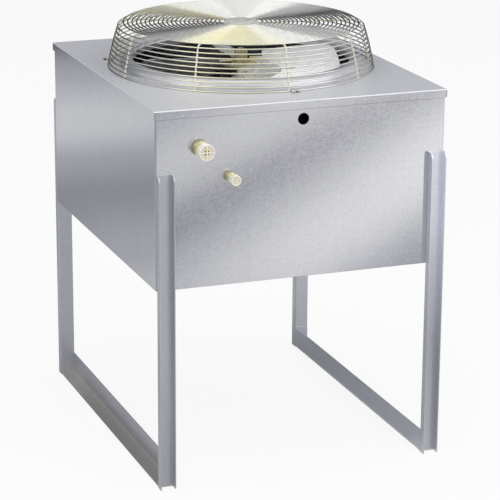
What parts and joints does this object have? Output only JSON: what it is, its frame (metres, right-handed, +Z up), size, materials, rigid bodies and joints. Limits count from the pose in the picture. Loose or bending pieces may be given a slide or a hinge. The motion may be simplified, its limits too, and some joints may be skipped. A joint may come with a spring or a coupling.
{
  "type": "remote condenser",
  "caption": "Remote air-cooled condenser: sheet-metal box on channel legs, flat coil below, guarded top fan and capped front pipe couplings.",
  "frame": {"origin": "bottom centre of the whole object, on the floor", "axes": "+Z up, -Y towards the front with the pipe couplings, +X to the right seen from the front"},
  "size_m": [0.7317, 0.898, 1.0258],
  "materials": {
    "galvanised": "satin",
    "leg_steel": "satin",
    "fastener_zinc": "satin",
    "guard_wire": "satin",
    "guard_plate": "satin",
    "fan_steel": "satin",
    "rivet_aluminium": "satin",
    "blade_aluminium": "satin",
    "shaft_steel": "satin",
    "motor_paint": "satin",
    "bearing_bronze": "satin",
    "fin_aluminium": "satin",
    "copper": "satin",
    "brass": "satin",
    "ivory_plastic": "matte",
    "lead_jacket": "matte"
  },
  "bodies": {
    "cabinet": {"top_cover": "galvanised", "front_panel": "galvanised", "rear_panel": "galvanised", "left_panel": "galvanised", "right_panel": "galvanised", "left_coil_baffle": "galvanised", "right_coil_baffle": "galvanised", "front_coil_plate": "galvanised", "rear_coil_plate": "galvanised", "front_crossbar": "galvanised", "rear_crossbar": "galvanised", "motor_plate": "galvanised", "front_left_leg": "leg_steel", "front_right_leg": "leg_steel", "rear_left_leg": "leg_steel", "rear_right_leg": "leg_steel", "left_base_rail": "leg_steel", "right_base_rail": "leg_steel", "leg_rivets": "leg_steel", "rail_rivets": "leg_steel", "cover_screws": "fastener_zinc", "guard_clip_screws": "fastener_zinc", "plate_screws": "fastener_zinc", "junction_box_screws": "fastener_zinc", "motor_studs": "fastener_zinc", "large_panel_nut": "fastener_zinc", "small_panel_nut": "fastener_zinc", "guard_side_rings": "guard_wire", "guard_top_rings": "guard_wire", "guard_ribs": "guard_wire", "guard_centre_disc": "guard_plate", "guard_clips": "guard_plate", "motor_stator": "shaft_steel", "motor_shell": "motor_paint", "motor_top_bell": "motor_paint", "motor_bottom_bell": "motor_paint", "junction_box": "motor_paint", "junction_box_cover": "motor_paint", "upper_bearing": "bearing_bronze", "lower_bearing": "bearing_bronze", "coil_fins": "fin_aluminium", "coil_tubes": "copper", "hot_gas_line": "copper", "liquid_line": "copper", "large_coupling": "brass", "small_coupling": "brass", "motor_lead": "lead_jacket"},
    "fan": {"fan_hub": "fan_steel", "fan_spider": "fan_steel", "fan_rivets": "rivet_aluminium", "hub_set_screw": "fastener_zinc", "fan_blade_1": "blade_aluminium", "fan_blade_2": "blade_aluminium", "fan_blade_3": "blade_aluminium", "fan_blade_4": "blade_aluminium", "motor_shaft": "shaft_steel", "motor_rotor": "shaft_steel"},
    "large_cap_body": {"large_cap": "ivory_plastic"},
    "small_cap_body": {"small_cap": "ivory_plastic"}
  },
  "joints": [
    {"name": "fan_spin", "type": "hinge", "parent": "cabinet", "child": "fan", "pos_m": [0, 0.0095, 0.921], "axis": [0, 0, 1], "continuous": true},
    {"name": "large_cap_pull", "type": "slide", "parent": "cabinet", "child": "large_cap_body", "axis": [0, -1, 0], "range_m": [0, 0.04]},
    {"name": "small_cap_pull", "type": "slide", "parent": "cabinet", "child": "small_cap_body", "axis": [0, -1, 0], "range_m": [0, 0.04]}
  ]
}
